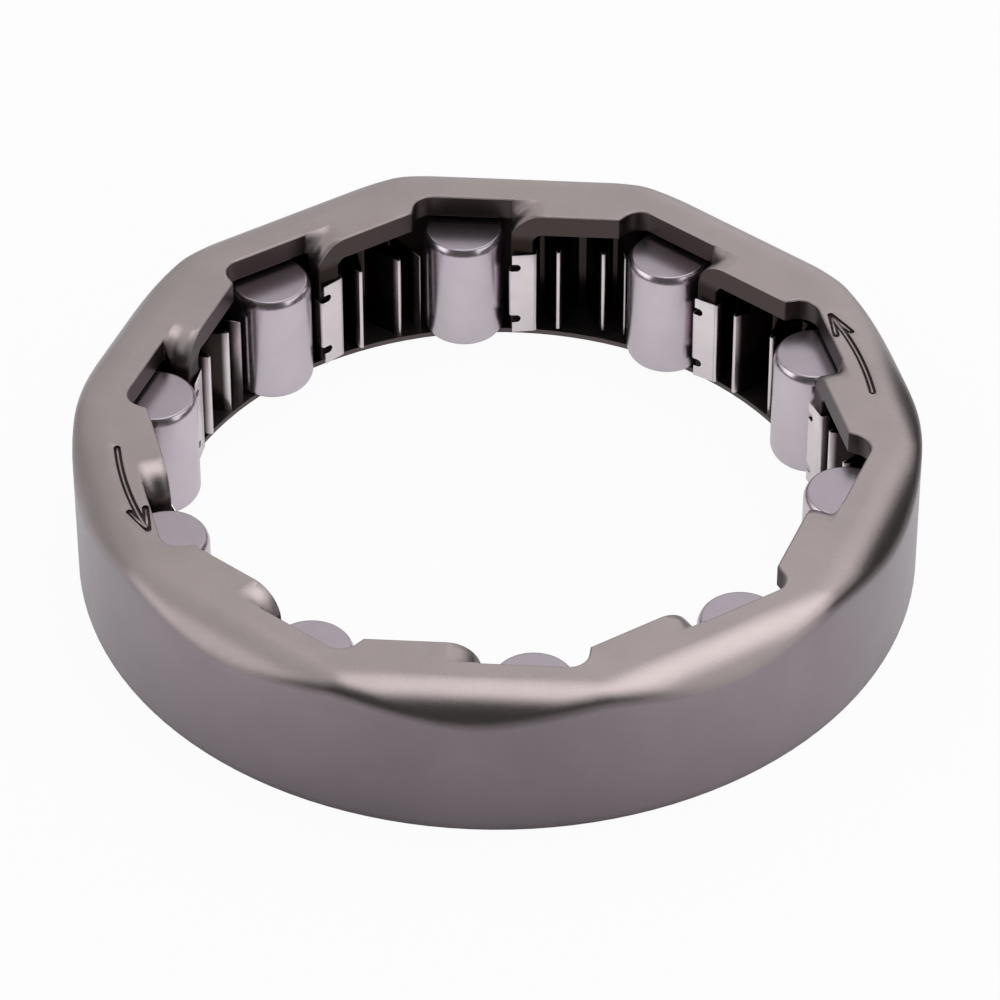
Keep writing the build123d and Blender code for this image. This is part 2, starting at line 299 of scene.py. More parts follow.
class ClutchStage(PropertyGroup):
    """The floor, the lamps and the camera."""

    floor_radius: FloatProperty(
        name="Floor radius", description="Radius of the pale floor",
        subtype="DISTANCE", unit="LENGTH", default=3.0)
    floor_colour: FloatVectorProperty(
        name="Floor", description="Pale grey of the floor",
        subtype="COLOR", min=0, max=1, default=linear("#BCBABC"))
    floor_white: FloatProperty(
        name="Floor white", description="How nearly white the camera sees the floor",
        subtype="FACTOR", min=0, max=1, default=0.95)
    floor_mirrored: FloatProperty(
        name="Floor in metal", description="How nearly white the metals see the floor",
        subtype="FACTOR", min=0, max=1, default=0.45)
    front_floor: FloatProperty(
        name="Front floor in metal", description="Share of that where the floor lies before the clutch",
        subtype="FACTOR", min=0, max=1, default=0.05)
    table_edge: FloatProperty(
        name="Table edge", description="Distance at which the metals no longer see the floor as lit",
        subtype="DISTANCE", unit="LENGTH", default=0.3)
    dusk_top: FloatProperty(
        name="Dusk",
        description="Angle above the horizon up to which the room is dim on the left, behind the clutch",
        subtype="ANGLE", unit="ROTATION", default=radians(35))
    left_dusk: FloatProperty(
        name="Left dusk", description="Brightness of the room low on the left, behind the clutch",
        subtype="FACTOR", min=0, max=1, default=0.75)
    left_glow: FloatProperty(
        name="Left glow", description="How much brighter the room is on the left, beside the clutch",
        subtype="FACTOR", min=0, max=1, default=0.6)
    softbox_width: FloatProperty(
        name="Softbox width", description="Width of the softbox above the clutch",
        subtype="DISTANCE", unit="LENGTH", default=1.1)
    softbox_depth: FloatProperty(
        name="Softbox depth", description="Depth of the softbox, away from the camera",
        subtype="DISTANCE", unit="LENGTH", default=0.8)
    softbox_height: FloatProperty(
        name="Softbox height", description="Height of the softbox",
        subtype="DISTANCE", unit="LENGTH", default=0.9)
    softbox_back: FloatProperty(
        name="Softbox offset", description="How far behind the clutch the softbox hangs",
        subtype="DISTANCE", unit="LENGTH", default=0.235)
    softbox_right: FloatProperty(
        name="Softbox right", description="How far right of the clutch the softbox hangs",
        subtype="DISTANCE", unit="LENGTH", default=0.4)
    softbox_power: FloatProperty(
        name="Softbox power", description="Power of the softbox",
        subtype="POWER", unit="POWER", default=3.4)
    front_flag_height: FloatProperty(
        name="Front flag", description="Height of the black flag on the camera's side",
        subtype="DISTANCE", unit="LENGTH", default=0.54)
    front_flag_sweep: FloatProperty(
        name="Front flag sweep", description="How far round the clutch the front flag reaches",
        subtype="ANGLE", unit="ROTATION", default=radians(100))
    right_flag_height: FloatProperty(
        name="Right flag", description="Height of the small black flag behind the clutch's right side",
        subtype="DISTANCE", unit="LENGTH", default=0.06)
    right_flag_sweep: FloatProperty(
        name="Right flag sweep", description="How far round the clutch the small flag reaches",
        subtype="ANGLE", unit="ROTATION", default=radians(64))
    flag_colour: FloatVectorProperty(
        name="Flags", description="Cloth of the black flags",
        subtype="COLOR", min=0, max=1, default=linear("#454545"))
    camera_distance: FloatProperty(
        name="Camera distance", description="Distance from the clutch's foot to the camera",
        subtype="DISTANCE", unit="LENGTH", default=814.56 * MM)
    camera_azimuth: FloatProperty(
        name="Camera azimuth", description="Angle of the camera round the clutch, from -Y towards +X",
        subtype="ANGLE", unit="ROTATION", default=radians(3.7))
    camera_elevation: FloatProperty(
        name="Camera elevation", description="Angle of the camera above the floor",
        subtype="ANGLE", unit="ROTATION", default=radians(40.79))
    camera_roll: FloatProperty(
        name="Camera roll", description="Turn of the camera about its own axis",
        subtype="ANGLE", unit="ROTATION", default=radians(-0.06))
    camera_lens: FloatProperty(
        name="Lens", description="Focal length", subtype="DISTANCE_CAMERA", unit="CAMERA", default=204.08)


def ramp(tree, value, start, end):
    """A value that rises from 0 to 1 between two sizes, or falls where the first is larger."""
    return add_node(tree, "ShaderNodeMapRange", {"Value": value, "From Min": start, "From Max": end},
                    clamp=True, interpolation_type="SMOOTHSTEP").outputs["Result"]


def both(tree, first, second):
    """The product of two masks."""
    return add_node(tree, "ShaderNodeMath", {0: first, 1: second}, operation="MULTIPLY").outputs[0]


def blend_colours(tree, share, first, second):
    """The first colour, or the second where the share is 1."""
    inputs = {0: share}
    for socket, colour in ((6, first), (7, second)):
        inputs[socket] = colour if isinstance(colour, bpy.types.NodeSocket) else (*colour, 1)
    return add_node(tree, "ShaderNodeMix", inputs, data_type="RGBA").outputs[2]


def race_steel(finish):
    """Low-carbon steel, deep drawn and tumbled: satin and faintly dimpled, a little darker on the wall as
    painted shade, sheared on the openings' faces, and dark in the cavity and along the arrows' grooves as
    painted shade."""
    material, tree, shader = new_material("tumbled_drawn_steel")
    place = add_node(tree, "ShaderNodeTexCoord")
    height = add_node(tree, "ShaderNodeSeparateXYZ", {0: place.outputs["Object"]}).outputs["Z"]
    facing = add_node(tree, "ShaderNodeSeparateXYZ", {0: place.outputs["Normal"]}).outputs["Z"]
    flat_place = add_node(tree, "ShaderNodeVectorMath", {0: place.outputs["Object"], 1: (1, 1, 0)},
                          operation="MULTIPLY")
    radius = add_node(tree, "ShaderNodeVectorMath", {0: flat_place.outputs[0]},
                      operation="LENGTH").outputs["Value"]

    # Where the wall, the cut faces and the cavity are. The wall and the cavity get painted shade.
    slope = add_node(tree, "ShaderNodeMath", {0: facing}, operation="ABSOLUTE").outputs[0]
    upright = ramp(tree, slope, *UPRIGHT_SLOPE)
    wall = both(tree, upright, ramp(tree, radius, *WALL_BAND))
    cut = both(tree, ramp(tree, slope, *CUT_SLOPE), ramp(tree, radius, *CUT_BAND))
    cavity = both(tree, ramp(tree, height, *CAVITY_SHADE_TOP_BAND), ramp(tree, radius, *CAVITY_SHADE_BAND))

    # The pressed arrows lie just under the flange's face. They are half a turn apart, so one
    # frame, turned to the first and mirrored through the axis, finds both.
    turned = add_node(tree, "ShaderNodeVectorRotate", {
        "Vector": place.outputs["Object"], "Angle": ARROW_STATIONS[0] * STATION_ANGLE},
        rotation_type="Z_AXIS")
    across = add_node(tree, "ShaderNodeSeparateXYZ", {0: turned.outputs[0]})
    outward = add_node(tree, "ShaderNodeMath", {0: across.outputs["Y"]}, operation="ABSOLUTE").outputs[0]
    swing = add_node(tree, "ShaderNodeMath", {0: across.outputs["X"], 1: across.outputs["Y"]},
                     operation="DIVIDE").outputs[0]
    along = both(tree, ramp(tree, swing, *GROOVE_TIP_BAND), ramp(tree, swing, *GROOVE_TAIL_BAND))
    beside = both(tree, ramp(tree, outward, *GROOVE_INNER_BAND), ramp(tree, radius, *GROOVE_OUTER_BAND))
    walled = ramp(tree, slope, *GROOVE_WALL_SLOPE)
    hair = 0.02 * MM
    floored = both(tree, ramp(tree, slope, *GROOVE_FLOOR_SLOPE),
                   ramp(tree, height, GROOVE_FLOOR + 2 * hair, GROOVE_FLOOR + hair))
    sunk = both(tree, ramp(tree, height, RACE_HEIGHT - hair, RACE_HEIGHT - 3 * hair),
                ramp(tree, height, GROOVE_FLOOR - 2 * hair, GROOVE_FLOOR - hair))
    pressed = add_node(tree, "ShaderNodeMath", {0: walled, 1: floored}, operation="MAXIMUM").outputs[0]
    groove = both(tree, both(tree, sunk, pressed), both(tree, along, beside))

    # Grain: tumbled dimples everywhere, and lines up the wall and the cut faces
    line_width, cloud_size = 0.5 * MM, 9 * MM
    dimples = add_node(tree, "ShaderNodeTexNoise", {
        "Vector": place.outputs["Object"], "Scale": 1 / finish.tumbled_grain,
        "Detail": 4.0, "Roughness": 0.6})
    stretched = add_node(tree, "ShaderNodeVectorMath", {0: place.outputs["Object"], 1: (1, 1, 0.04)},
                         operation="MULTIPLY")
    lines = add_node(tree, "ShaderNodeTexNoise", {
        "Vector": stretched.outputs[0], "Scale": 1 / line_width, "Detail": 3.0, "Roughness": 0.55})
    clouds = add_node(tree, "ShaderNodeTexNoise", {
        "Vector": place.outputs["Object"], "Scale": 1 / cloud_size, "Detail": 5.0, "Roughness": 0.55})
    line_share = add_node(tree, "ShaderNodeMath", {0: upright, 1: 0.6}, operation="MULTIPLY")
    grain = add_node(tree, "ShaderNodeMix", {
        0: line_share.outputs[0], 2: dimples.outputs["Fac"], 3: lines.outputs["Fac"]}, data_type="FLOAT")
    tone = add_node(tree, "ShaderNodeMapRange", {
        "Value": clouds.outputs["Fac"], "From Min": 0.25, "From Max": 0.75, "To Min": 0.94, "To Max": 1.05})

    # Painted shade: the outer wall is coloured a little darker than the flange
    colour = blend_colours(tree, wall, finish.race_colour, finish.wall_shaded_colour)
    colour = blend_colours(tree, cut, colour, finish.cut_colour)
    # Painted shade: the cavity's faces under the flange are darkened, standing in for the shade deep inside
    # the race
    colour = blend_colours(tree, cavity, colour, finish.cavity_shade_colour)
    # Painted shade: the arrows' grooves are darkened
    colour = blend_colours(tree, groove, colour, finish.groove_shade_colour)
    toned = add_node(tree, "ShaderNodeVectorMath", {0: colour, 1: tone.outputs[0]}, operation="MULTIPLY")

    roughness = add_node(tree, "ShaderNodeMapRange", {
        "Value": grain.outputs[0], "From Min": 0.3, "From Max": 0.7,
        "To Min": 0.27, "To Max": 0.31}).outputs[0]
    for mask, rougher in ((cut, 0.08), (groove, 0.2), (cavity, 0.1)):
        roughness = add_node(tree, "ShaderNodeMath", {0: mask, 1: rougher, 2: roughness},
                             operation="MULTIPLY_ADD").outputs[0]

    # Corners are soft where the sheet was drawn or bent, and nearly sharp where it was sheared
    outside = ramp(tree, radius, *RIM_BAND)
    bent = both(tree, ramp(tree, slope, *BEND_SLOPE), ramp(tree, slope, *BEND_TOP_SLOPE))
    soft = add_node(tree, "ShaderNodeMath", {0: outside, 1: both(tree, bent, 0.8)}, operation="MAXIMUM")
    softness = add_node(tree, "ShaderNodeMath", {0: soft.outputs[0], 1: finish.drawn_corner,
                                                 2: finish.sheared_corner}, operation="MULTIPLY_ADD")
    corners = add_node(tree, "ShaderNodeBevel", {"Radius": softness.outputs[0]}, samples=4)
    bump = add_node(tree, "ShaderNodeBump", {
        "Height": grain.outputs[0], "Strength": 0.05, "Distance": 0.006 * MM, "Normal": corners.outputs[0]})
    for name, source in (("Base Color", toned.outputs[0]), ("Roughness", roughness),
                         ("Normal", bump.outputs[0])):
        tree.links.new(source, shader.inputs[name])
    shader.inputs["Metallic"].default_value = 1.0
    return material


def ring_steel(finish):
    """Steel sheet, stamped and tumbled: duller than the race, with a faint rolled grain across it."""
    material, tree, shader = new_material("stamped_ring_steel")
    place = add_node(tree, "ShaderNodeTexCoord")
    rolled = add_node(tree, "ShaderNodeVectorMath", {0: place.outputs["Object"], 1: (0.06, 1, 1)},
                      operation="MULTIPLY")
    grain_width, cloud_size = 0.3 * MM, 6 * MM
    grain = add_node(tree, "ShaderNodeTexNoise", {
        "Vector": rolled.outputs[0], "Scale": 1 / grain_width, "Detail": 4.0, "Roughness": 0.6})
    clouds = add_node(tree, "ShaderNodeTexNoise", {
        "Vector": place.outputs["Object"], "Scale": 1 / cloud_size, "Detail": 4.0})
    tone = add_node(tree, "ShaderNodeMapRange", {
        "Value": clouds.outputs["Fac"], "From Min": 0.25, "From Max": 0.75, "To Min": 0.88, "To Max": 1.06})
    colour = add_node(tree, "ShaderNodeVectorMath", {0: tuple(finish.ring_colour), 1: tone.outputs[0]},
                      operation="MULTIPLY")
    roughness = add_node(tree, "ShaderNodeMapRange", {
        "Value": grain.outputs["Fac"], "From Min": 0.3, "From Max": 0.7, "To Min": 0.32, "To Max": 0.46})
    bump = add_node(tree, "ShaderNodeBump", {
        "Height": grain.outputs["Fac"], "Strength": 0.2, "Distance": 0.015 * MM})
    for name, source in (("Base Color", colour), ("Roughness", roughness), ("Normal", bump)):
        tree.links.new(source.outputs[0], shader.inputs[name])
    shader.inputs["Metallic"].default_value = 1.0
    return material


def roller_steel(finish):
    """Bearing steel, hardened: its side is ground bright with fine lines round it, and its flat ends are
    lapped and given a darker colour than the side as painted shade."""
    material, tree, shader = new_material("ground_bearing_steel")
    around = add_node(tree, "ShaderNodeUVMap", uv_map="turned")
    place = add_node(tree, "ShaderNodeTexCoord")
    facing = add_node(tree, "ShaderNodeSeparateXYZ", {0: place.outputs["Normal"]}).outputs["Z"]
    slope = add_node(tree, "ShaderNodeMath", {0: facing}, operation="ABSOLUTE").outputs[0]
    drawn_out = add_node(tree, "ShaderNodeVectorMath", {0: around.outputs[0], 1: (0.05, 1, 0)},
                         operation="MULTIPLY")
    lines = add_node(tree, "ShaderNodeTexNoise", {
        "Vector": drawn_out.outputs[0], "Scale": 1 / finish.grinding_pitch, "Detail": 3.0, "Roughness": 0.6})
    cloud_size = 4 * MM
    clouds = add_node(tree, "ShaderNodeTexNoise", {
        "Vector": place.outputs["Object"], "Scale": 1 / cloud_size, "Detail": 4.0})
    tone = add_node(tree, "ShaderNodeMapRange", {
        "Value": clouds.outputs["Fac"], "From Min": 0.25, "From Max": 0.75, "To Min": 0.95, "To Max": 1.03})
    # Painted shade: the level ends take a darker colour than the sides
    ends = ramp(tree, slope, 0.5, 0.95)
    colour = blend_colours(tree, ends, finish.roller_colour, finish.roller_end_shade_colour)
    toned = add_node(tree, "ShaderNodeVectorMath", {0: colour, 1: tone.outputs[0]}, operation="MULTIPLY")
    roughness = add_node(tree, "ShaderNodeMapRange", {
        "Value": lines.outputs["Fac"], "From Min": 0.3, "From Max": 0.7, "To Min": 0.22, "To Max": 0.27})
    bump = add_node(tree, "ShaderNodeBump", {
        "Height": lines.outputs["Fac"], "Strength": 0.02, "Distance": 0.004 * MM})
    for name, source in (("Base Color", toned), ("Roughness", roughness), ("Normal", bump)):
        tree.links.new(source.outputs[0], shader.inputs[name])
    shader.inputs["Metallic"].default_value = 1.0
    return material


def spring_steel(finish):
    """Stainless spring strip, cold rolled bright: its rolling lines run along the strip, level, and painted
    shade darkens it deep in the cavity."""
    material, tree, shader = new_material("rolled_spring_strip")
    place = add_node(tree, "ShaderNodeTexCoord")
    level = add_node(tree, "ShaderNodeVectorMath", {0: place.outputs["Object"], 1: (0.05, 0.05, 1)},
                     operation="MULTIPLY")
    lines = add_node(tree, "ShaderNodeTexNoise", {
        "Vector": level.outputs[0], "Scale": 1 / finish.rolling_pitch, "Detail": 3.0, "Roughness": 0.55})
    cloud_size = 3 * MM
    clouds = add_node(tree, "ShaderNodeTexNoise", {
        "Vector": place.outputs["Object"], "Scale": 1 / cloud_size, "Detail": 3.0})
    tone = add_node(tree, "ShaderNodeMapRange", {
        "Value": clouds.outputs["Fac"], "From Min": 0.25, "From Max": 0.75, "To Min": 0.94, "To Max": 1.03})
    # Painted shade: the strip darkens with its depth into the cavity
    depth = add_node(tree, "ShaderNodeAttribute", attribute_name="depth").outputs["Fac"]
    oiled = ramp(tree, depth, 0.4, 1.5)
    colour = blend_colours(tree, oiled, finish.spring_colour, finish.deep_shade_colour)
    toned = add_node(tree, "ShaderNodeVectorMath", {0: colour, 1: tone.outputs[0]}, operation="MULTIPLY")
    roughness = add_node(tree, "ShaderNodeMapRange", {
        "Value": lines.outputs["Fac"], "From Min": 0.3, "From Max": 0.7, "To Min": 0.26, "To Max": 0.27})
    bump = add_node(tree, "ShaderNodeBump", {
        "Height": lines.outputs["Fac"], "Strength": 0.01, "Distance": 0.0003 * MM})
    for name, source in (("Base Color", toned), ("Roughness", roughness), ("Normal", bump)):
        tree.links.new(source.outputs[0], shader.inputs[name])
    shader.inputs["Metallic"].default_value = 1.0
    return material


class CLUTCH_OT_finish_race(Operator):
    """Give the outer race its tumbled steel"""

    bl_idname = "clutch.finish_race"
    bl_label = "Finish the outer race"

    def execute(self, context):
        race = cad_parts["outer_race"]
        race.data.materials.clear()
        race.data.materials.append(race_steel(context.scene.clutch_finish))
        return {"FINISHED"}


class CLUTCH_OT_bead_arrows(Operator):
    """Raise the rounded bead that pressing leaves along the middle of each arrow's grooves"""

    bl_idname = "clutch.bead_arrows"
    bl_label = "Bead the arrows"

    def execute(self, context):
        sizes = context.scene.clutch_sizes
        material = bead_steel(context.scene.clutch_finish)
        barb_start, barb_stop = 1.5 * sizes.bead_end, 0.5 * sizes.bead_end
        for station in ARROW_STATIONS:
            bm = bmesh.new()
            tip = pi / 2 + ARROW_TIP_ANGLE
            shaft = bead_section(bm, sizes, Vector((ARROW_RADIUS, 0, GROOVE_FLOOR)), 0)
            bmesh.ops.rotate(bm, verts=shaft["verts"], cent=(0, 0, 0), matrix=Matrix.Rotation(
                tip - ARROW_SWEEP, 3, "Z"))
            bmesh.ops.spin(bm, geom=shaft["verts"] + shaft["edges"] + shaft["faces"], cent=(0, 0, 0),
                           axis=(0, 0, 1), angle=ARROW_SWEEP - sizes.bead_end / ARROW_RADIUS, steps=24)
            point = ARROW_RADIUS * Vector((cos(tip), sin(tip), 0))
            for across in (BARB_OUTWARD, -BARB_INWARD):
                back = tip - BARB_SWEEP
                end = (ARROW_RADIUS + across) * Vector((cos(back), sin(back), 0))
                stroke = end - point
                away = stroke.normalized()
                start = point + away * barb_start + Vector((0, 0, GROOVE_FLOOR))
                swing = atan2(away.y, away.x) - pi / 2
                barb = bead_section(bm, sizes, start, swing)
                long = stroke.length - barb_start - barb_stop
                made = bmesh.ops.extrude_face_region(bm, geom=barb["faces"])["geom"]
                bmesh.ops.translate(bm, verts=[g for g in made if isinstance(g, bmesh.types.BMVert)],
                                    vec=away * long)
            bmesh.ops.recalc_face_normals(bm, faces=bm.faces)
            for face in bm.faces:
                face.smooth = True
            bmesh.ops.transform(bm, matrix=station_matrix(station), verts=bm.verts)
            new_piece(f"arrow_bead_{station}", bm, material, "race")
        return {"FINISHED"}


def bead_section(bm, sizes, place, swing):
    """A half-round section of the bead, standing on the groove's floor square to its run."""
    count = 8
    points = []
    for step in range(count + 1):
        turn = pi * step / count
        across = sizes.bead_width / 2 * cos(turn)
        up = sizes.bead_height * sin(turn) - sizes.bead_sink
        points.append(bm.verts.new(Matrix.Rotation(swing, 3, "Z") @ Vector((across, 0, up)) + place))
    face = bm.faces.new(points)
    return {"verts": points, "edges": list(face.edges), "faces": [face]}


def bead_steel(finish):
    """The race's steel, pushed up into a rough bead between the two sides of a pressed groove."""
    material, tree, shader = new_material("pressed_bead_steel")
    place = add_node(tree, "ShaderNodeTexCoord")
    chatter_width = 0.25 * MM
    chatter = add_node(tree, "ShaderNodeTexNoise", {
        "Vector": place.outputs["Object"], "Scale": 1 / chatter_width, "Detail": 3.0, "Roughness": 0.6})
    tone = add_node(tree, "ShaderNodeMapRange", {
        "Value": chatter.outputs["Fac"], "From Min": 0.3, "From Max": 0.7, "To Min": 0.6, "To Max": 1.05})
    colour = add_node(tree, "ShaderNodeVectorMath", {0: tuple(finish.race_colour), 1: tone.outputs[0]},
                      operation="MULTIPLY")
    bump = add_node(tree, "ShaderNodeBump", {
        "Height": chatter.outputs["Fac"], "Strength": 0.3, "Distance": 0.03 * MM})
    for name, source in (("Base Color", colour), ("Normal", bump)):
        tree.links.new(source.outputs[0], shader.inputs[name])
    shader.inputs["Roughness"].default_value = 0.38
    shader.inputs["Metallic"].default_value = 1.0
    return material


class CLUTCH_OT_finish_ring(Operator):
    """Give the retaining ring its stamped steel"""

    bl_idname = "clutch.finish_ring"
    bl_label = "Finish the retaining ring"

    def execute(self, context):
        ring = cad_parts["retaining_ring"]
        ring.data.materials.clear()
        ring.data.materials.append(ring_steel(context.scene.clutch_finish))
        return {"FINISHED"}


class CLUTCH_OT_turn_rollers(Operator):
    """Turn the rollers and grind their corners round"""

    bl_idname = "clutch.turn_rollers"
    bl_label = "Turn the rollers"

    def execute(self, context):
        sizes = context.scene.clutch_sizes
        material = roller_steel(context.scene.clutch_finish)
        for number in range(1, STATION_COUNT + 1):
            node = f"roller_{number:02d}"
            low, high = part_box(node)
            bm = turned_roller(low, high, sizes)
            piece = new_piece(f"ground_{node}", bm, material, node)
            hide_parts(node)
        return {"FINISHED"}


def turned_roller(low, high, sizes):
    """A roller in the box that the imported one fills, with lines' places measured along its profile."""
    radius = (high.x - low.x) / 2
    length = high.z - low.z
    inset = sizes.roller_corner_radius - sizes.roller_end_inset
    corner_height = (sizes.roller_corner_radius ** 2 - inset ** 2) ** 0.5
    corner_bottom = sizes.roller_end_inset * inset / corner_height
    end_radius = radius - sizes.roller_end_inset

    # Half of the profile, from the axis to the side, spun and mirrored. The bevel of its
    # corner stops a hair short of the corner's full height, so that it doesn't overrun it.
    hair = 0.02 * MM
    bm = bmesh.new()
    profile = [(0, 0), (end_radius / 2, 0), (end_radius, 0), (radius, corner_bottom), (radius, length / 2)]
    points = [bm.verts.new((r, 0, z - length / 2)) for r, z in profile]
    wire = [bm.edges.new(pair) for pair in zip(points, points[1:])]
    bmesh.ops.spin(bm, geom=points + wire, cent=(0, 0, 0), axis=(0, 0, 1), angle=2 * pi,
                   steps=sizes.roller_segments, use_merge=True)
    bmesh.ops.remove_doubles(bm, verts=bm.verts, dist=SAME_POINT)
    corner = [e for e in bm.edges if all(
        abs(v.co.z + length / 2 - corner_bottom) < SAME_PLANE for v in e.verts)]
    bmesh.ops.bevel(bm, geom=corner, offset=corner_height - corner_bottom - hair, offset_type="OFFSET",
                    segments=8, profile=0.5, affect="EDGES", material=-1)
    bmesh.ops.mirror(bm, geom=bm.verts[:] + bm.edges[:] + bm.faces[:], axis="Z", merge_dist=SAME_POINT)
    rim = [e for e in bm.edges if all(
        abs(abs(v.co.z) - length / 2) < SAME_PLANE and abs(v.co.xy.length - end_radius) < 5 * SAME_PLANE
        for v in e.verts)]
    bmesh.ops.bevel(bm, geom=rim, offset=sizes.roller_edge, offset_type="OFFSET", segments=3, profile=0.5,
                    affect="EDGES", material=-1)
    bmesh.ops.recalc_face_normals(bm, faces=bm.faces)

    # Measure round the roller and along its profile. Its flat ends are shaded flat.
    turned = bm.loops.layers.uv.new("turned")
    for face in bm.faces:
        face.smooth = abs(face.normal.z) < 0.999
        middle = face.calc_center_median()
        for loop in face.loops:
            co = loop.vert.co
            away = co.xy.length
            swing = atan2(co.y, co.x) if away > SAME_PLANE else atan2(middle.y, middle.x)
            turn = (swing - atan2(middle.y, middle.x) + pi) % (2 * pi) - pi + atan2(middle.y, middle.x)
            along = co.z + (radius - away) * (1 if middle.z > 0 else -1)
            loop[turned].uv = (turn * radius, along)
    centre = (low + high) / 2
    bmesh.ops.translate(bm, verts=bm.verts, vec=centre)
    return bm


class CLUTCH_OT_fold_springs(Operator):
    """Cut each spring into a clip at its leg and leaves that hang slack towards its roller"""

    bl_idname = "clutch.fold_springs"
    bl_label = "Fold the springs"

    def execute(self, context):
        sizes = context.scene.clutch_sizes
        material = spring_steel(context.scene.clutch_finish)
        for number in range(1, STATION_COUNT + 1):
            node = f"spring_{number:02d}"
            at_leg = station_matrix(number - 2)
            split = at_leg @ Vector((LEG_SPRING_SIDE + sizes.tab_to_leaves, HOOD_EDGE, 0))
            along = at_leg.to_3x3() @ Vector((1, 0, 0))

            clip = strip_part(node, split, -along, at_leg, sizes)
            new_piece(f"clip_of_{node}", clip, material, "race")

            leaves = strip_part(node, split + along * sizes.leaf_gap, along, at_leg, sizes)
            slack = SPRING_SLACK[number - 1]
            hang_leaves(leaves, split, at_leg, sizes.spring_sag * slack, sizes.spring_bulge * slack)
            piece = new_piece(f"leaves_of_{node}", leaves, material, node)
            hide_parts(node)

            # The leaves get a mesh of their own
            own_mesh(piece)
        return {"FINISHED"}


def hang_leaves(bm, split, at_leg, sag, bulge):
    """Let a spring's leaves hang lower the nearer they are to the roller, and bow into the bore."""
    along = at_leg.to_3x3() @ Vector((1, 0, 0))
    inward = at_leg.to_3x3() @ Vector((0, -1, 0))
    reach = max((vert.co - split).dot(along) for vert in bm.verts)
    for vert in bm.verts:
        share = max((vert.co - split).dot(along) / reach, 0)
        vert.co += inward * bulge * sin(pi * share) - Vector((0, 0, sag * share))


def strip_part(node, split, keep_side, at_leg, sizes):
    """The part of a packed spring on one side of a cut, its edges eased, with each point's depth."""
    flat_angle, slit_angle, sharp_angle = radians(0.2), radians(60), radians(30)
    bm = bmesh.new()
    bm.from_mesh(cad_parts[node].data)
    bmesh.ops.remove_doubles(bm, verts=bm.verts, dist=SAME_POINT)
    flat = [e for e in bm.edges if len(e.link_faces) == 2 and e.calc_face_angle(0) < flat_angle]
    bmesh.ops.dissolve_edges(bm, edges=flat, use_verts=False)
    cut = bmesh.ops.bisect_plane(bm, geom=bm.verts[:] + bm.edges[:] + bm.faces[:], dist=SAME_POINT / 10,
                                 plane_co=split, plane_no=keep_side, clear_inner=True)
    rim = [g for g in cut["geom_cut"] if isinstance(g, bmesh.types.BMEdge)]
    bmesh.ops.holes_fill(bm, edges=rim, sides=0)
    slit = [e for e in bm.edges if len(e.link_faces) == 2 and e.calc_face_angle(0) > slit_angle
            and all(abs(v.co.z - e.verts[0].co.z) < SAME_POINT for v in e.verts)]
    bmesh.ops.bevel(bm, geom=slit, offset=sizes.strip_burr, offset_type="OFFSET", segments=2, profile=0.5,
                    affect="EDGES", material=-1)
    bmesh.ops.recalc_face_normals(bm, faces=bm.faces)

    depth = bm.verts.layers.float.new("depth")
    back = at_leg.inverted()
    for vert in bm.verts:
        vert[depth] = ((back @ vert.co).y - HOOD_EDGE) / MM
    for face in bm.faces:
        face.smooth = True
    for edge in bm.edges:
        edge.smooth = edge.calc_face_angle(pi) < sharp_angle
    return bm


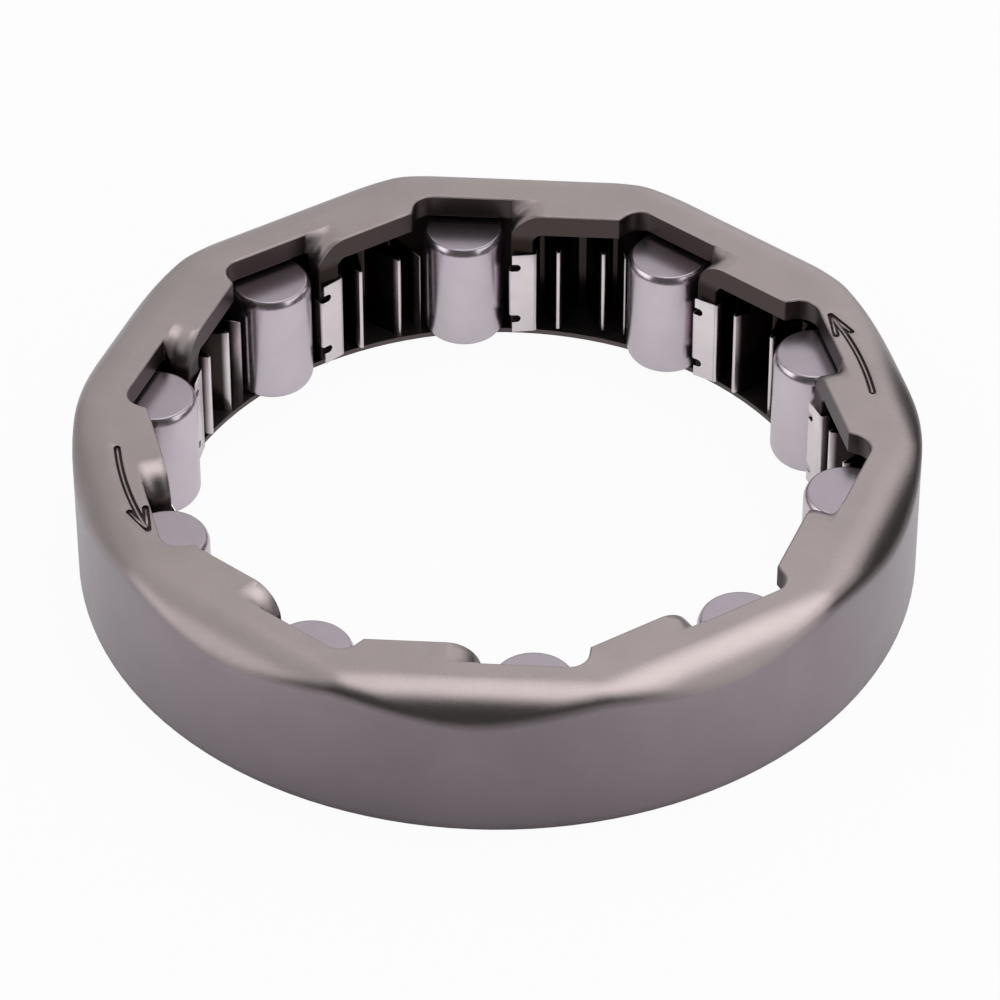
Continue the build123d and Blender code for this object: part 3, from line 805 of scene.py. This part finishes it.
class CLUTCH_OT_set_stage(Operator):
    """Lay the floor, hang the lamps and place the camera"""

    bl_idname = "clutch.set_stage"
    bl_label = "Set the stage"

    def execute(self, context):
        stage = context.scene.clutch_stage
        context.scene.view_settings.view_transform = "Standard"
        self.lay_floor(stage)
        self.hang_lamps(context, stage)
        self.place_camera(context, stage)
        return {"FINISHED"}

    def lay_floor(self, stage):
        """A round pale floor, seen white by the camera where nothing shades it. In the metals it glows with
        painted light near the clutch, behind and beside it, and is dark before it."""
        material, tree, shader = new_material("pale_floor")
        shader.inputs["Base Color"].default_value = (*stage.floor_colour, 1)
        shader.inputs["Roughness"].default_value = 0.9
        shader.inputs["Specular IOR Level"].default_value = 0.0
        path = add_node(tree, "ShaderNodeLightPath")
        glow = add_node(tree, "ShaderNodeEmission", {"Color": (1, 1, 1, 1), "Strength": 1.0})
        seen = add_node(tree, "ShaderNodeMath", {0: path.outputs["Is Glossy Ray"],
                                                 1: path.outputs["Is Transmission Ray"]}, operation="MAXIMUM")
        place = add_node(tree, "ShaderNodeTexCoord")
        away = add_node(tree, "ShaderNodeVectorMath", {0: place.outputs["Object"]}, operation="LENGTH")
        near = ramp(tree, away.outputs["Value"], stage.table_edge, stage.table_edge / 2)
        sides = add_node(tree, "ShaderNodeSeparateXYZ", {0: place.outputs["Object"]})
        aside = add_node(tree, "ShaderNodeMath", {0: sides.outputs["X"]}, operation="ABSOLUTE")
        behind = ramp(tree, sides.outputs["Y"], *FLOOR_BEHIND_BAND)
        beside = ramp(tree, aside.outputs[0], *FLOOR_BESIDE_BAND)
        lit = add_node(tree, "ShaderNodeMath", {0: behind, 1: beside}, operation="MAXIMUM").outputs[0]
        # Painted light: for the metals' reflections, the floor glows behind and beside the clutch and hardly
        # at all before it
        front = add_node(tree, "ShaderNodeMapRange", {
            "Value": lit, "To Min": stage.front_floor, "To Max": 1.0})
        mirrored = both(tree, both(tree, near, front.outputs[0]), seen.outputs[0])
        dimmed = add_node(tree, "ShaderNodeMath", {0: mirrored, 1: stage.floor_mirrored},
                          operation="MULTIPLY")
        share = add_node(tree, "ShaderNodeMath", {0: path.outputs["Is Camera Ray"], 1: stage.floor_white,
                                                  2: dimmed.outputs[0]}, operation="MULTIPLY_ADD")
        mixed = add_node(tree, "ShaderNodeMixShader", {0: share.outputs[0], 1: shader.outputs["BSDF"],
                                                       2: glow.outputs[0]})
        output = next(n for n in tree.nodes if n.type == "OUTPUT_MATERIAL")
        tree.links.new(mixed.outputs[0], output.inputs["Surface"])
        bm = bmesh.new()
        bmesh.ops.create_circle(bm, cap_ends=True, segments=64, radius=stage.floor_radius)
        mesh = bpy.data.meshes.new("floor")
        bm.to_mesh(mesh)
        bm.free()
        mesh.materials.append(material)
        floor = bpy.data.objects.new("floor", mesh)
        bpy.context.scene.collection.objects.link(floor)

    def hang_lamps(self, context, stage):
        """A white room, dim low on the left behind and brighter beside the clutch, with a softbox
        overhead and two black flags round the clutch."""
        world = bpy.data.worlds.new("white_room")
        context.scene.world = world
        world.use_nodes = True
        tree = world.node_tree
        tree.nodes.clear()
        aim = add_node(tree, "ShaderNodeTexCoord")
        way = add_node(tree, "ShaderNodeSeparateXYZ", {0: aim.outputs["Generated"]})
        low = ramp(tree, way.outputs["Z"], sin(stage.dusk_top), sin(stage.dusk_top) - DUSK_FADE)
        behind = ramp(tree, way.outputs["Y"], *DUSK_BEHIND_BAND)
        dusk = both(tree, both(tree, low, behind), ramp(tree, way.outputs["X"], *DUSK_LEFT_BAND))
        balance = add_node(tree, "ShaderNodeMapRange", {
            "Value": ramp(tree, way.outputs["X"], *BALANCE_BAND),
            "To Min": LEFT_LEVEL, "To Max": RIGHT_LEVEL})
        shaded = add_node(tree, "ShaderNodeMath", {0: dusk, 1: stage.left_dusk - 1, 2: balance.outputs[0]},
                          operation="MULTIPLY_ADD")
        beside = both(tree, ramp(tree, way.outputs["X"], *GLOW_LEFT_BAND),
                      ramp(tree, way.outputs["Y"], *GLOW_FRONT_BAND))
        strength = add_node(tree, "ShaderNodeMath", {0: beside, 1: stage.left_glow, 2: shaded.outputs[0]},
                            operation="MULTIPLY_ADD").outputs[0]
        back = add_node(tree, "ShaderNodeBackground", {"Color": (1, 1, 1, 1), "Strength": strength})
        add_node(tree, "ShaderNodeOutputWorld", {"Surface": back.outputs[0]})

        lamp = bpy.data.lights.new("softbox", "AREA")
        lamp.shape = "RECTANGLE"
        lamp.size = stage.softbox_width
        lamp.size_y = stage.softbox_depth
        lamp.energy = stage.softbox_power
        softbox = bpy.data.objects.new("softbox", lamp)
        softbox.location = (stage.softbox_right, stage.softbox_back, stage.softbox_height)
        softbox.visible_camera = False
        context.scene.collection.objects.link(softbox)

        material, tree, shader = new_material("black_flag")
        shader.inputs["Base Color"].default_value = (*stage.flag_colour, 1)
        shader.inputs["Roughness"].default_value = 0.9
        self.hang_flag(context, "front_flag", material, FRONT_FLAG_MIDDLE, stage.front_flag_sweep,
                       FRONT_FLAG_DISTANCE, stage.front_flag_height)
        self.hang_flag(context, "right_flag", material, RIGHT_FLAG_MIDDLE, stage.right_flag_sweep,
                       RIGHT_FLAG_DISTANCE, stage.right_flag_height)

    def hang_flag(self, context, name, material, middle, sweep, radius, height):
        """A curved black flag, standing round the clutch, that only shows in the metals."""
        bm = bmesh.new()
        first = middle - sweep / 2
        start = bm.verts.new((radius * cos(first), radius * sin(first), 0))
        bmesh.ops.spin(bm, geom=[start], cent=(0, 0, 0), axis=(0, 0, 1), angle=sweep, steps=32)
        top = bmesh.ops.extrude_edge_only(bm, edges=bm.edges[:])["geom"]
        raised = [g for g in top if isinstance(g, bmesh.types.BMVert)]
        bmesh.ops.translate(bm, verts=raised, vec=(0, 0, height))
        mesh = bpy.data.meshes.new(name)
        bm.to_mesh(mesh)
        bm.free()
        mesh.materials.append(material)
        flag = bpy.data.objects.new(name, mesh)
        flag.visible_camera = False
        flag.visible_diffuse = False
        flag.visible_shadow = False
        context.scene.collection.objects.link(flag)

    def place_camera(self, context, stage):
        """Stand where the photograph was taken from."""
        az, el = stage.camera_azimuth, stage.camera_elevation
        place = stage.camera_distance * Vector((sin(az) * cos(el), -cos(az) * cos(el), sin(el)))
        right = Vector((cos(az), sin(az), 0))
        target = Vector((0, 0, AIM_HEIGHT)) + right * AIM_RIGHT
        data = bpy.data.cameras.new("camera")
        data.lens = stage.camera_lens
        data.sensor_width = 36.0
        data.clip_start = 0.01
        camera = bpy.data.objects.new("camera", data)
        turn = (target - place).to_track_quat("-Z", "Y")
        camera.rotation_mode = "QUATERNION"
        camera.rotation_quaternion = turn @ Quaternion((0, 0, 1), stage.camera_roll)
        camera.location = place
        context.scene.collection.objects.link(camera)
        context.scene.camera = camera


class CLUTCH_PT_workshop(Panel):
    """The steps that finish the clutch, and their sizes and colours"""

    bl_idname = "CLUTCH_PT_workshop"
    bl_label = "Roller clutch"
    bl_space_type = "VIEW_3D"
    bl_region_type = "UI"
    bl_category = "Clutch"

    def draw(self, context):
        for step in STEPS:
            self.layout.operator(step)
        for group in (context.scene.clutch_finish, context.scene.clutch_sizes, context.scene.clutch_stage):
            box = self.layout.box()
            for name in group.__annotations__:
                box.prop(group, name)


STEPS = ("clutch.finish_race", "clutch.bead_arrows", "clutch.finish_ring", "clutch.turn_rollers",
         "clutch.fold_springs", "clutch.set_stage")
CLASSES = (ClutchFinish, ClutchSizes, ClutchStage, CLUTCH_OT_finish_race, CLUTCH_OT_bead_arrows,
           CLUTCH_OT_finish_ring, CLUTCH_OT_turn_rollers, CLUTCH_OT_fold_springs, CLUTCH_OT_set_stage,
           CLUTCH_PT_workshop)


def register():
    for item in CLASSES:
        bpy.utils.register_class(item)
    bpy.types.Scene.clutch_finish = PointerProperty(type=ClutchFinish)
    bpy.types.Scene.clutch_sizes = PointerProperty(type=ClutchSizes)
    bpy.types.Scene.clutch_stage = PointerProperty(type=ClutchStage)


def unregister():
    del bpy.types.Scene.clutch_stage
    del bpy.types.Scene.clutch_sizes
    del bpy.types.Scene.clutch_finish
    for item in reversed(CLASSES):
        bpy.utils.unregister_class(item)


def main():
    register()
    bpy.ops.clutch.finish_race()
    bpy.ops.clutch.bead_arrows()
    bpy.ops.clutch.finish_ring()
    bpy.ops.clutch.turn_rollers()
    bpy.ops.clutch.fold_springs()
    bpy.ops.clutch.set_stage()


if __name__ == "__main__":
    main()
